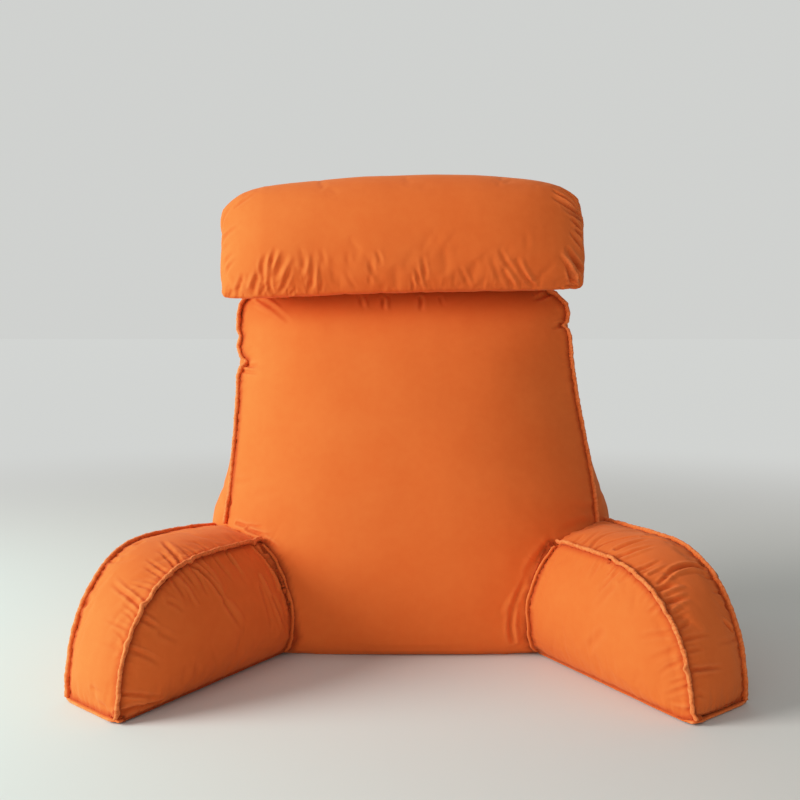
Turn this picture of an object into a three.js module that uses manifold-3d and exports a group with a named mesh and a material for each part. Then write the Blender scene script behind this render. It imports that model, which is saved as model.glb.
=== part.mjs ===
// A reading pillow: a wedge-shaped backrest, two half-moon arms that splay forwards, and a neck roll on top.
// Millimetres, +Z up. The front faces -Y, the sitter's right hand is at -X, and the floor is Z = 0.
// Every filled part is one closed solid. Its seams carry a raised welt of the same cloth, which is a solid of its own.
import * as THREE from "three";
import { mergeVertices } from "three/addons/utils/BufferGeometryUtils.js";
import Module from "manifold-3d";

const wasm = await Module();
wasm.setup();

const GAP = 0.4; // clear space between two pieces that touch
const WELT = { across: 2.3, out: 3.1, sides: 8 }; // half width and half height of a seam's welt
const CLOTH = { color: 0xdb6c2e, roughness: 0.88, metalness: 0 };
const WELT_CLOTH = { color: 0xc9591f, roughness: 0.9, metalness: 0 };
const TAB_CLOTH = { color: 0x2e1710, roughness: 0.8, metalness: 0 };

// ---- Backrest -------------------------------------------------------------------------------------------------
// One row for each height: how far the front seams lie to the left and right, where the front and back seams are,
// how far the front panel crowns and how squarely, how far the back panel crowns and how far the side gusset bulges.
const BACKREST_ROWS = [
  { z: 0, left: 236, right: 257, frontY: 34, backY: 194, crown: 39, square: 3.4, backCrown: 2, gusset: 5 },
  { z: 6, left: 239, right: 261, frontY: 34, backY: 199, crown: 48, square: 3.4, backCrown: 6, gusset: 10 },
  { z: 18, left: 241, right: 264, frontY: 35, backY: 203, crown: 55, square: 3.4, backCrown: 10, gusset: 17 },
  { z: 45, left: 245, right: 269, frontY: 39, backY: 207, crown: 63, square: 3.3, backCrown: 14, gusset: 26 },
  { z: 95, left: 246, right: 272, frontY: 51, backY: 210, crown: 76, square: 3.2, backCrown: 17, gusset: 34 },
  { z: 165, left: 244, right: 270, frontY: 69, backY: 213, crown: 84, square: 3.0, backCrown: 18, gusset: 34 },
  { z: 210, left: 239, right: 267, frontY: 80, backY: 216, crown: 85, square: 2.8, backCrown: 18, gusset: 23 },
  { z: 265, left: 235, right: 259, frontY: 94, backY: 219, crown: 83, square: 2.6, backCrown: 18, gusset: 14 },
  { z: 353, left: 231, right: 245, frontY: 116, backY: 225, crown: 73, square: 2.5, backCrown: 17, gusset: 12 },
  { z: 405, left: 232, right: 240, frontY: 129, backY: 229, crown: 63, square: 2.5, backCrown: 15, gusset: 10 },
  { z: 440, left: 233, right: 239, frontY: 138, backY: 231, crown: 52, square: 2.5, backCrown: 13, gusset: 10 },
  { z: 466, left: 232, right: 237, frontY: 145, backY: 232, crown: 39, square: 2.5, backCrown: 11, gusset: 9 },
  { z: 484, left: 220, right: 222, frontY: 149, backY: 231, crown: 27, square: 2.5, backCrown: 8, gusset: 7 },
  { z: 495, left: 199, right: 201, frontY: 152, backY: 229, crown: 16, square: 2.5, backCrown: 5, gusset: 5 },
  { z: 500, left: 174, right: 178, frontY: 156, backY: 225, crown: 7, square: 2.5, backCrown: 3, gusset: 3 },
];
const BACKREST_LEVELS = [
  0, 6, 18, 34, 60, 95, 130, 158, 178, 205, 235, 270, 305, 340, 366, 380, 389, 398, 410, 425, 433, 440, 447, 458, 470,
  484, 495, 500,
];
const BACKREST_STEPS = { front: 18, side: 7 };
const BACKREST_TOP_CROWN = 5;
// Where the front seam buckles: the side it is on, its height, how deep it draws in, how tall it is and how far its
// crease runs into the front panel.
const SEAM_TUCKS = [
  { side: -1, z: 389, depth: 12, half: 8, crease: 7, reach: 16 },
  { side: -1, z: 425, depth: 4, half: 5, crease: 2, reach: 10 },
  { side: 1, z: 440, depth: 9, half: 6, crease: 6, reach: 14 },
];
const TUCK_FADE = 26; // how far from the seam the cloth is still drawn in

// ---- Arms -----------------------------------------------------------------------------------------------------
// The tip's inner corner on the floor, the angle of the base from straight ahead, the height and the length of the
// nose of the inner and outer half-moon panels, how far the outer panel is set back, the width between the seams of
// the top strip, how far the inner and outer seams of the top turn outwards and drop by the time they reach the
// backrest, and how far the inner and outer panels bulge.
const ARMS = [
  {
    name: "left",
    side: -1,
    tip: [-317, -252],
    angle: 31,
    inner: [157, 166],
    outer: [167, 150],
    setBack: 24,
    width: 102,
    turnOut: [32, 32],
    drop: [6, 10],
    bulge: [36, 20],
  },
  {
    name: "right",
    side: 1,
    tip: [322, -254],
    angle: 27.6,
    inner: [154, 180],
    outer: [166, 160],
    setBack: 23,
    width: 99,
    turnOut: [21, 28],
    drop: [2, 2],
    bulge: [31, 20],
  },
];
const ARM = {
  length: 366, // from the tip to the end inside the backrest
  reach: 290, // from the tip to the backrest's front
  dropsFrom: 150, // how far behind the tip the top begins to drop
  roundness: 2.3, // how square the nose is
  heart: [228, 60], // the middle of the half-moon, from the tip and from the floor
  stripCrown: 9,
};
const ARM_STEPS = { floor: 9, nose: 18, top: 8, rear: 3 };
const PANEL_STATIONS = [0.3, 0.55, 0.76, 0.9, 0.97, 1]; // shares of the way from the heart to the seam
const STRIP_STATIONS = [0.09, 0.28, 0.5, 0.72, 0.91]; // shares of the way across the top strip
const REAR_WELT = { reach: [3.2, 4.4], heights: [5.2, 150] }; // over the arm, over the backrest, and from where to where
const WELT_FOOT = 9; // the height at which a nose welt ends over the base welt

// ---- Neck roll ------------------------------------------------------------------------------------------------
// One row for each place along the roll: its lower front seam, its top, its depth and where its middle lies.
const ROLL_ROWS = [
  { x: -256, seamZ: 508, topZ: 580, depth: 7, middleY: 104 },
  { x: -252, seamZ: 492, topZ: 600, depth: 30, middleY: 103 },
  { x: -241, seamZ: 480, topZ: 612, depth: 58, middleY: 103 },
  { x: -220, seamZ: 477, topZ: 626, depth: 92, middleY: 104 },
  { x: -185, seamZ: 479, topZ: 636, depth: 122, middleY: 105 },
  { x: -120, seamZ: 482, topZ: 643, depth: 142, middleY: 106 },
  { x: -20, seamZ: 486, topZ: 650, depth: 150, middleY: 106 },
  { x: 90, seamZ: 488, topZ: 651, depth: 146, middleY: 106 },
  { x: 165, seamZ: 489, topZ: 646, depth: 130, middleY: 105 },
  { x: 215, seamZ: 490, topZ: 637, depth: 102, middleY: 104 },
  { x: 238, seamZ: 491, topZ: 625, depth: 72, middleY: 104 },
  { x: 250, seamZ: 495, topZ: 606, depth: 36, middleY: 103 },
  { x: 255, seamZ: 510, topZ: 585, depth: 7, middleY: 103 },
];
// The roll's section, from its lower front seam up the front, over the top and back underneath: shares of half the
// depth, and of the height.
const ROLL_SECTION = [
  { y: -0.6, z: 0.0 },
  { y: -0.88, z: 0.16 },
  { y: -1.0, z: 0.42 },
  { y: -0.9, z: 0.7 },
  { y: -0.55, z: 0.93 },
  { y: 0.0, z: 1.0 },
  { y: 0.55, z: 0.93 },
  { y: 0.9, z: 0.7 },
  { y: 1.0, z: 0.42 },
  { y: 0.86, z: 0.18 },
  { y: 0.45, z: 0.04 },
  { y: -0.1, z: 0.02 },
  { y: -0.6, z: 0.0 },
];
const ROLL_STEPS = { along: 30, round: 28 };

// A plain tab caught in the outer seam of the right arm: its place in degrees round the nose, and its size.
const TAB = { degrees: 57, wide: 15, long: 10.4, thick: 1.2, corner: 2.4, foot: 1 };

// ---- Tables, lofts and solids ---------------------------------------------------------------------------------

// A smooth curve through one column of a table, with no overshoot between its rows.
function curveOf(rows, key, column) {
  const at = rows.map((row) => row[key]);
  const value = rows.map((row) => row[column]);
  const slope = at.slice(1).map((x, i) => (value[i + 1] - value[i]) / (x - at[i]));
  const tangent = value.map((_, i) => {
    const before = slope[i - 1] ?? slope[i];
    const after = slope[i] ?? slope[i - 1];
    return before * after > 0 ? (2 * before * after) / (before + after) : 0;
  });
  return (x) => {
    const last = at.length - 2;
    const found = at.findIndex((a, i) => i <= last && x <= at[i + 1]);
    const i = found < 0 ? last : found;
    const span = at[i + 1] - at[i];
    const t = THREE.MathUtils.clamp((x - at[i]) / span, 0, 1);
    const rise = t * t * (3 - 2 * t);
    return (
      value[i] * (1 - rise) +
      value[i + 1] * rise +
      span * (tangent[i] * t * (1 - t) * (1 - t) - tangent[i + 1] * t * t * (1 - t))
    );
  };
}

// A panel's crown across its width, 1 in the middle and 0 at its seams, for a place from -1 to 1.
const dome = (place, square = 2.4) => Math.pow(Math.max(0, 1 - Math.pow(Math.abs(place), square)), 2 / square);

// Steps from 0 to 1 that are closer together at both ends, where a panel curves most.
const eased = (i, count) => (1 - Math.cos((Math.PI * i) / count)) / 2;

const blend = (a, b, share) => new THREE.Vector3().lerpVectors(a, b, share);

// A closed surface through rings of points. Each end is closed by a grid, or by a fan round one point.
function loft(rings, closeStart, closeEnd) {
  const count = rings[0].length;
  const points = rings.flat();
  const faces = [];
  for (let r = 0; r + 1 < rings.length; r++) {
    for (let i = 0; i < count; i++) {
      const a = r * count + i;
      const b = r * count + ((i + 1) % count);
      faces.push([a, b, b + count], [a, b + count, a + count]);
    }
  }
  closeStart(rings[0], 0, points, faces, false);
  closeEnd(rings.at(-1), (rings.length - 1) * count, points, faces, true);
  const geometry = new THREE.BufferGeometry().setFromPoints(points).setIndex(faces.flat());
  if (signedVolume(points, faces) < 0) geometry.setIndex(faces.flatMap(([a, b, c]) => [a, c, b]));
  geometry.computeVertexNormals();
  return geometry;
}

function signedVolume(points, faces) {
  const cross = new THREE.Vector3();
  return faces.reduce((sum, [a, b, c]) => sum + points[a].dot(cross.crossVectors(points[b], points[c])), 0) / 6;
}

// Closes a ring round a point.
const fan = (centre) => (ring, first, points, faces, atEnd) => {
  const middle = points.push(centre) - 1;
  ring.forEach((_, i) => {
    const a = first + i;
    const b = first + ((i + 1) % ring.length);
    faces.push(atEnd ? [a, b, middle] : [b, a, middle]);
  });
};

// Closes a four-sided ring by a grid whose inner points rise to a crown.
const grid = (front, side, crown) => (ring, first, points, faces, atEnd) => {
  const onRing = (i) => ((i % ring.length) + ring.length) % ring.length;
  const index = [];
  for (let j = 0; j <= side; j++) {
    index.push([]);
    for (let i = 0; i <= front; i++) {
      if (j === 0) index[j].push(first + i);
      else if (j === side) index[j].push(first + onRing(2 * front + side - i));
      else if (i === 0) index[j].push(first + onRing(-j));
      else if (i === front) index[j].push(first + front + j);
      else {
        const u = eased(i, front);
        const v = j / side;
        const across = blend(ring[onRing(-j)], ring[front + j], u);
        const along = blend(ring[i], ring[onRing(2 * front + side - i)], v);
        const flat = blend(
          blend(ring[0], ring[front], u),
          blend(ring[onRing(-side)], ring[front + side], u),
          v,
        );
        const place = across.add(along).sub(flat);
        place.z += crown * Math.sin(Math.PI * u) * Math.sin(Math.PI * v);
        index[j].push(points.push(place) - 1);
      }
    }
  }
  for (let j = 0; j < side; j++) {
    for (let i = 0; i < front; i++) {
      const [a, b, c, d] = [index[j][i], index[j][i + 1], index[j + 1][i + 1], index[j + 1][i]];
      faces.push(...(atEnd ? [[a, b, c], [a, c, d]] : [[a, c, b], [a, d, c]]));
    }
  }
};

// A copy of a closed surface whose points stand out by a distance.
function grown(geometry, distance) {
  const copy = geometry.clone();
  const place = copy.attributes.position;
  const normal = copy.attributes.normal;
  for (let i = 0; i < place.count; i++) {
    place.setXYZ(
      i,
      place.getX(i) + distance * normal.getX(i),
      place.getY(i) + distance * normal.getY(i),
      place.getZ(i) + distance * normal.getZ(i),
    );
  }
  return copy;
}

function solidOf(geometry) {
  const bare = geometry.clone();
  bare.deleteAttribute("normal");
  bare.deleteAttribute("uv");
  const merged = mergeVertices(bare, 1e-3);
  return new wasm.Manifold(
    new wasm.Mesh({
      numProp: 3,
      vertProperties: merged.attributes.position.array,
      triVerts: new Uint32Array(merged.index.array),
    }),
  );
}

function geometryOf(solid) {
  const mesh = solid.getMesh();
  const geometry = new THREE.BufferGeometry();
  geometry.setAttribute("position", new THREE.BufferAttribute(new Float32Array(mesh.vertProperties), 3));
  geometry.setIndex(new THREE.BufferAttribute(new Uint32Array(mesh.triVerts), 1));
  geometry.computeVertexNormals();
  return geometry;
}

// What is left of a piece once others, each with a little clearance, are cut from it.
function cutBy(geometry, others) {
  return geometryOf(others.reduce((solid, other) => solid.subtract(solidOf(other)), solidOf(geometry)));
}

// The points and outward directions of a line of a loft's own vertices.
function seamLine(geometry, indices) {
  return indices.map((i) => ({
    point: new THREE.Vector3().fromBufferAttribute(geometry.attributes.position, i),
    out: new THREE.Vector3().fromBufferAttribute(geometry.attributes.normal, i).normalize(),
  }));
}

// A welt: an oval section that stands on a seam, on its outward side.
function welt(line, spare = 0) {
  const across = WELT.across + spare;
  const out = WELT.out + spare;
  const rings = line.map(({ point, out: direction }, i) => {
    const before = line[Math.max(0, i - 1)].point;
    const after = line[Math.min(line.length - 1, i + 1)].point;
    const run = new THREE.Vector3().subVectors(after, before).normalize();
    const up = direction.clone().addScaledVector(run, -direction.dot(run)).normalize();
    const side = new THREE.Vector3().crossVectors(run, up);
    const centre = point.clone().addScaledVector(up, WELT.out + GAP);
    return Array.from({ length: WELT.sides }, (_, k) => {
      const angle = (2 * Math.PI * (k + 0.5)) / WELT.sides;
      return centre
        .clone()
        .addScaledVector(side, across * Math.cos(angle))
        .addScaledVector(up, out * Math.sin(angle));
    });
  });
  const middle = (ring) => ring.reduce((sum, p) => sum.add(p), new THREE.Vector3()).divideScalar(ring.length);
  return loft(rings, fan(middle(rings[0])), fan(middle(rings.at(-1))));
}

// ---- The parts ------------------------------------------------------------------------------------------------

function makeBackrest() {
  const { front, side } = BACKREST_STEPS;
  const of = Object.fromEntries(
    Object.keys(BACKREST_ROWS[0]).map((column) => [column, curveOf(BACKREST_ROWS, "z", column)]),
  );
  // A buckle draws the cloth on both sides of the seam inwards, and folds a crease into the front panel.
  const buckled = (place, side, away, onFront) => {
    SEAM_TUCKS.filter((tuck) => tuck.side === side).forEach((tuck) => {
      const strength = Math.exp(-(((place.z - tuck.z) / tuck.half) ** 2));
      place.x -= side * tuck.depth * strength * Math.exp(-away / TUCK_FADE);
      if (onFront) place.y += tuck.crease * strength * Math.exp(-away / tuck.reach) * (1 - Math.exp(-away / 6));
    });
    return place;
  };
  const panel = (from, to, rise, onFront) =>
    Array.from({ length: front }, (_, i) => {
      const share = eased(i, front);
      const place = blend(from, to, share);
      place.y += rise(2 * share - 1);
      if (!onFront) return place;
      return buckled(buckled(place, -1, place.x - from.x, true), 1, to.x - place.x, true);
    });
  const gusset = (from, to, sign, bulge) =>
    Array.from({ length: side }, (_, i) => {
      const share = eased(i, side);
      const place = blend(from, to, share);
      place.x += sign * bulge * Math.pow(Math.sin(Math.PI * share), 0.8);
      return buckled(place, sign, Math.abs(place.y - (sign > 0 ? from.y : to.y)), false);
    });
  const rings = BACKREST_LEVELS.map((z) => {
    const frontLeft = new THREE.Vector3(-of.left(z), of.frontY(z), z);
    const frontRight = new THREE.Vector3(of.right(z), of.frontY(z), z);
    const backRight = new THREE.Vector3(of.right(z), of.backY(z), z);
    const backLeft = new THREE.Vector3(-of.left(z), of.backY(z), z);
    return [
      ...panel(frontLeft, frontRight, (place) => -of.crown(z) * dome(place, of.square(z)), true),
      ...gusset(frontRight, backRight, 1, of.gusset(z)),
      ...panel(backRight, backLeft, (place) => of.backCrown(z) * dome(place), false),
      ...gusset(backLeft, frontLeft, -1, of.gusset(z)),
    ];
  });
  return loft(rings, grid(front, side, 0), grid(front, side, BACKREST_TOP_CROWN));
}

// The seam between the front panel and the gusset, from the top of one arm over the top to the other arm.
function frontSeam(geometry, lowest) {
  const { front, side } = BACKREST_STEPS;
  const ring = 2 * (front + side);
  const levels = BACKREST_LEVELS.map((z, i) => i).filter((i) => BACKREST_LEVELS[i] > lowest);
  const top = (BACKREST_LEVELS.length - 1) * ring;
  return seamLine(geometry, [
    ...levels.map((i) => i * ring),
    ...Array.from({ length: front - 1 }, (_, i) => top + i + 1),
    ...levels.toReversed().map((i) => i * ring + front),
  ]);
}

// The seam between the back panel and the gusset, from the floor over the top to the floor.
function backSeam(geometry) {
  const { front, side } = BACKREST_STEPS;
  const ring = 2 * (front + side);
  const levels = BACKREST_LEVELS.map((z, i) => i).filter((i) => BACKREST_LEVELS[i] >= WELT_FOOT);
  const top = (BACKREST_LEVELS.length - 1) * ring;
  return seamLine(geometry, [
    ...levels.map((i) => i * ring + front + side),
    ...Array.from({ length: front - 1 }, (_, i) => top + front + side + i + 1),
    ...levels.toReversed().map((i) => i * ring + 2 * front + side),
  ]);
}

// A half-moon outline, from the rear along the floor to the tip, up the nose, back along the top and down.
// Each point is its distance behind the tip and its height.
function halfMoon([height, nose]) {
  const { floor, nose: noseSteps, top, rear } = ARM_STEPS;
  const outline = [];
  for (let i = 0; i < floor; i++) outline.push([ARM.length * (1 - i / floor), 0]);
  for (let i = 0; i < noseSteps; i++) {
    const angle = (Math.PI / 2) * (i / noseSteps);
    outline.push([
      nose * (1 - Math.pow(Math.cos(angle), 2 / ARM.roundness)),
      height * Math.pow(Math.sin(angle), 2 / ARM.roundness),
    ]);
  }
  for (let i = 0; i < top; i++) outline.push([nose + ((ARM.length - nose) * i) / top, height]);
  for (let i = 0; i < rear; i++) outline.push([ARM.length, height * (1 - i / rear)]);
  return outline;
}

function makeArm(arm) {
  const turn = THREE.MathUtils.degToRad(arm.angle);
  const back = new THREE.Vector3(-arm.side * Math.sin(turn), Math.cos(turn), 0); // from the tip to the backrest
  const outwards = new THREE.Vector3(arm.side * Math.cos(turn), Math.sin(turn), 0); // across the top strip
  const inner = halfMoon(arm.inner);
  const outer = halfMoon(arm.outer);
  const at = (behind, height, across) => {
    const between = ([atInner, atOuter]) => THREE.MathUtils.lerp(atInner, atOuter, across / arm.width);
    const turned = between(arm.turnOut);
    const risen = Math.max(0, height) / Math.max(arm.inner[0], arm.outer[0]);
    const dropped = between(arm.drop) * risen * Math.pow(Math.max(0, behind - ARM.dropsFrom) / (ARM.reach - ARM.dropsFrom), 1.5);
    return new THREE.Vector3(arm.tip[0], arm.tip[1], height - dropped)
      .addScaledVector(back, behind + (arm.setBack * across) / arm.width)
      .addScaledVector(outwards, across + turned * (behind / ARM.reach) * Math.pow(risen, 1.5));
  };
  const panelRing = (outline, share, across, bulge) =>
    outline.map(([behind, height]) =>
      at(
        THREE.MathUtils.lerp(ARM.heart[0], behind, share),
        THREE.MathUtils.lerp(ARM.heart[1], height, share),
        across + bulge * dome(share),
      ),
    );
  const stripRing = (share) =>
    inner.map(([behind, height], i) => {
      const crown = height > 0 ? ARM.stripCrown * dome(2 * share - 1, 2.8) : 0;
      const before = inner[Math.max(0, i - 1)];
      const after = inner[Math.min(inner.length - 1, i + 1)];
      const run = new THREE.Vector2(after[0] - before[0], after[1] - before[1]).normalize();
      const placed = [
        THREE.MathUtils.lerp(behind, outer[i][0], share) - crown * run.y,
        THREE.MathUtils.lerp(height, outer[i][1], share) + crown * run.x,
      ];
      return at(placed[0], placed[1], arm.width * share);
    });
  const rings = [
    ...PANEL_STATIONS.map((share) => panelRing(inner, share, 0, -arm.bulge[0])),
    ...STRIP_STATIONS.map(stripRing),
    ...PANEL_STATIONS.toReversed().map((share) => panelRing(outer, share, arm.width, arm.bulge[1])),
  ];
  const geometry = loft(
    rings,
    fan(at(ARM.heart[0], ARM.heart[1], -arm.bulge[0])),
    fan(at(ARM.heart[0], ARM.heart[1], arm.width + arm.bulge[1])),
  );
  return { arm, geometry, inner, at };
}

// The line of a half-moon seam from just above the tip's corner, over the nose and back into the backrest.
function noseSeam({ geometry, inner }, station) {
  const { floor, nose, top } = ARM_STEPS;
  const first = station * inner.length + floor;
  const line = seamLine(
    geometry,
    Array.from({ length: nose + top }, (_, i) => first + i),
  );
  const above = line.findIndex(({ point }) => point.z > WELT_FOOT);
  const share = (WELT_FOOT - line[above - 1].point.z) / (line[above].point.z - line[above - 1].point.z);
  const foot = {
    point: blend(line[above - 1].point, line[above].point, share),
    out: blend(line[above - 1].out, line[above].out, share).setZ(0).normalize(),
  };
  return [foot, ...line.slice(above)];
}

// The welt between an arm's inner panel and the backrest: it fills the corner where the two surfaces meet.
function rearWelt(cushion, clearance) {
  const [deep, high] = REAR_WELT.reach;
  const corner = solidOf(grown(cushion, clearance + deep)).intersect(solidOf(grown(backrest, clearance + high)));
  const hollow = corner.subtract(solidOf(grown(cushion, clearance))).subtract(solidOf(grown(backrest, clearance)));
  const [lowest, highest] = REAR_WELT.heights;
  const kept = hollow.trimByPlane([0, 0, 1], lowest).trimByPlane([0, 0, -1], -highest);
  const nearest = (solid) => Math.min(...[0, 1].map((i) => Math.abs([solid.boundingBox().min, solid.boundingBox().max][i][0])));
  return geometryOf(kept.decompose().filter((solid) => solid.volume() > 20).sort((a, b) => nearest(a) - nearest(b))[0]);
}

// The line round the base panel: along the inner edge to the tip, across it and back along the outer edge.
function baseSeam({ geometry, inner }) {
  const { floor } = ARM_STEPS;
  const innerSeam = PANEL_STATIONS.length - 1;
  const outerSeam = innerSeam + STRIP_STATIONS.length + 1;
  const indices = [
    ...Array.from({ length: floor }, (_, i) => innerSeam * inner.length + i),
    ...Array.from({ length: outerSeam - innerSeam + 1 }, (_, i) => (innerSeam + i) * inner.length + floor),
    ...Array.from({ length: floor }, (_, i) => outerSeam * inner.length + floor - 1 - i),
  ];
  return seamLine(geometry, indices).map(({ point, out }) => ({
    point: point.setZ(WELT.across + 0.05),
    out: out.setZ(0).normalize(),
  }));
}

// The tab stands out of the outer seam behind its welt. Its outer end is rounded.
function makeTab(made) {
  const line = noseSeam(made, PANEL_STATIONS.length + STRIP_STATIONS.length);
  const nearest = Math.round((TAB.degrees / 90) * ARM_STEPS.nose);
  const [before, here, after] = [nearest - 1, nearest, nearest + 1].map((i) => line[i]);
  const along = new THREE.Vector3().subVectors(after.point, before.point).normalize();
  const out = here.out.clone().addScaledVector(along, -here.out.dot(along)).normalize();
  const beside = new THREE.Vector3().crossVectors(along, out);
  const [half, corner] = [TAB.wide / 2, TAB.corner];
  const outline = new THREE.Shape();
  outline.moveTo(-half, TAB.foot);
  outline.lineTo(half, TAB.foot);
  outline.bezierCurveTo(half, TAB.long + corner, -half, TAB.long + corner, -half, TAB.foot);
  const geometry = new THREE.ExtrudeGeometry(outline, { depth: TAB.thick, bevelEnabled: false, curveSegments: 16 });
  const away = Math.sign(beside.dot(made.at(0, 0, 1).sub(made.at(0, 0, 0))));
  const place = new THREE.Matrix4().makeBasis(along, out, beside);
  place.setPosition(here.point.clone().addScaledVector(beside, away * (WELT.across + GAP) - (away < 0 ? TAB.thick : 0)));
  return geometry.applyMatrix4(place);
}

function makeRoll() {
  const of = Object.fromEntries(
    Object.keys(ROLL_ROWS[0]).map((column) => [column, curveOf(ROLL_ROWS, "x", column)]),
  );
  const section = new THREE.CatmullRomCurve3(
    ROLL_SECTION.map(({ y, z }) => new THREE.Vector3(0, y, z)),
    false,
    "centripetal",
  );
  const [first, last] = [ROLL_ROWS[0].x, ROLL_ROWS.at(-1).x];
  const rings = Array.from({ length: ROLL_STEPS.along + 1 }, (_, i) => {
    const x = THREE.MathUtils.lerp(first, last, eased(i, ROLL_STEPS.along));
    return Array.from({ length: ROLL_STEPS.round }, (_, k) => {
      const { y, z } = section.getPoint(k / ROLL_STEPS.round);
      return new THREE.Vector3(
        x,
        of.middleY(x) + (y * of.depth(x)) / 2,
        THREE.MathUtils.lerp(of.seamZ(x), of.topZ(x), z),
      );
    });
  });
  const middle = (row, ring) => new THREE.Vector3(ring[0].x, row.middleY, (row.seamZ + row.topZ) / 2);
  return loft(rings, fan(middle(ROLL_ROWS[0], rings[0])), fan(middle(ROLL_ROWS.at(-1), rings.at(-1))));
}

// ---- Assembly -------------------------------------------------------------------------------------------------

const pillow = new THREE.Group();

function add(name, geometry, look) {
  const mesh = new THREE.Mesh(geometry, new THREE.MeshStandardMaterial(look));
  mesh.name = name;
  pillow.add(mesh);
  return mesh;
}

const backrest = makeBackrest();
const besideBackrest = grown(backrest, GAP);
const armTops = Math.max(...ARMS.map((arm) => Math.max(arm.inner[0], arm.outer[0])));
const frontLine = frontSeam(backrest, armTops + ARM.stripCrown);
const frontWelt = welt(frontLine);
add("backrest", backrest, CLOTH);
add("backrest_front_welt", frontWelt, WELT_CLOTH);
add("backrest_back_welt", welt(backSeam(backrest)), WELT_CLOTH);

for (const arm of ARMS) {
  const made = makeArm(arm);
  const cushion = cutBy(made.geometry, [besideBackrest]);
  const besideArm = grown(made.geometry, GAP);
  const outerStation = PANEL_STATIONS.length + STRIP_STATIONS.length;
  add(`arm_${arm.name}`, cushion, CLOTH);
  add(
    `arm_${arm.name}_inner_welt`,
    cutBy(welt(noseSeam(made, PANEL_STATIONS.length - 1)), [besideBackrest]),
    WELT_CLOTH,
  );
  add(`arm_${arm.name}_outer_welt`, cutBy(welt(noseSeam(made, outerStation)), [besideBackrest]), WELT_CLOTH);
  if (arm.side > 0) add("arm_right_tab", makeTab(made), TAB_CLOTH);
  add(`arm_${arm.name}_rear_welt`, rearWelt(made.geometry, GAP), WELT_CLOTH);
  add(`arm_${arm.name}_base_welt`, cutBy(welt(baseSeam(made)), [besideBackrest, besideArm]), WELT_CLOTH);
}

add("neck_roll", cutBy(makeRoll(), [besideBackrest, welt(frontLine, GAP)]), CLOTH);

const box = new THREE.Box3().setFromObject(pillow);
pillow.position.set(-(box.min.x + box.max.x) / 2, -(box.min.y + box.max.y) / 2, -box.min.z);

export default pillow;
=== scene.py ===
import math

import bmesh
import bpy
import numpy as np
from mathutils import Euler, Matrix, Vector, noise
from mathutils.bvhtree import BVHTree


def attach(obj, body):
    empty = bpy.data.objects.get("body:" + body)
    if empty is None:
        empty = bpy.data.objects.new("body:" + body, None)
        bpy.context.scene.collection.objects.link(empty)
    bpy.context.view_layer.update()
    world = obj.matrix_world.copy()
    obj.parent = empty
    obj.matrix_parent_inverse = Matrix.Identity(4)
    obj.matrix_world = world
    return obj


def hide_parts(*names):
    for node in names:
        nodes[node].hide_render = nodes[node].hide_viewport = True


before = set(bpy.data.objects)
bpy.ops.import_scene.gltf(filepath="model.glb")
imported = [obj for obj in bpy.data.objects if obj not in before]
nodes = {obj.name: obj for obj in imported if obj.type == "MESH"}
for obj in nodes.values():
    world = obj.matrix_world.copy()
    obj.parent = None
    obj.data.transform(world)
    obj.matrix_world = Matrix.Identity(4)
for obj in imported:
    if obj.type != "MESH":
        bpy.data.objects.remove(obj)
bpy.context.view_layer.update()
scene = bpy.context.scene
mm = 0.001

# the camera's place, lens and sensor in millimetres, its tilt in degrees, its picture's side in
# points, the first, last and step of the distances at which it looks for the object, and how far it
# sees at all
view = {"place": (-6.1, -1417.0, 447.5), "down": 4.2, "lens": 48.6, "sensor": 36, "picture": 800,
        "distances": (1000, 2000, 5), "farthest": 60000}
eye = Vector(view["place"]) * mm
tilt = Euler((math.radians(90 - view["down"]), 0, 0))
focal = view["lens"] / view["sensor"] * view["picture"]

# a broad window on the left, so many metres from a place a little above the floor, weak light from
# the room in front and from above behind, dim air that fills the shadows, a pale backdrop, and a pale
# floor that fades into it between two distances in metres
studio = {
    "window": {"from": (-1, -0.28, 0.33), "away": 2.6, "above": 0.25, "across": 1.45, "power": 88,
               "colour": (1, 0.985, 0.955)},
    "room": {"from": (-0.2, -1, 0.34), "spread": 60, "power": 0.80, "colour": (1, 0.99, 0.97)},
    "skylight": {"from": (-0.35, 0.75, 0.9), "spread": 90, "power": 0.6, "colour": (1, 0.99, 0.97)},
    "air": {"colour": (1, 0.992, 0.975), "strength": 0.22, "backdrop": (0.61, 0.64, 0.625)},
    "floor": {"colour": (0.68, 0.73, 0.70), "roughness": 0.9, "gloss": 0.1, "size": 25,
              "fadeFrom": 0.7, "fadeTo": 2.6},
}

# how the film answers red light: bright reds are held back, so lit cloth looks more golden
film = [(0.0, 0.0), (0.3, 0.31), (0.5, 0.525), (0.7, 0.70), (0.92, 0.82), (1.18, 0.92), (1.6, 1.0)]


def makeCamera():
    camera = bpy.data.objects.new("camera", bpy.data.cameras.new("camera"))
    scene.collection.objects.link(camera)
    camera.data.lens = view["lens"]
    camera.data.sensor_width = view["sensor"]
    camera.data.clip_end = view["farthest"] * mm
    camera.location = eye
    camera.rotation_euler = tilt
    scene.camera = camera


def makeLamp(name, facts):  # a near lamp is a disc, a far one shines like the sun
    near = "away" in facts
    lamp = bpy.data.lights.new(name, "AREA" if near else "SUN")
    lamp.energy = facts["power"]
    lamp.color = facts["colour"]
    light = bpy.data.objects.new(name, lamp)
    side = Vector(facts["from"]).normalized()
    light.rotation_euler = side.to_track_quat("Z", "Y").to_euler()
    if near:
        lamp.shape = "DISK"
        lamp.size = facts["across"]
        light.location = side * facts["away"] + Vector((0, 0, facts["above"]))
    else:
        lamp.angle = math.radians(facts["spread"])
    scene.collection.objects.link(light)


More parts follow.
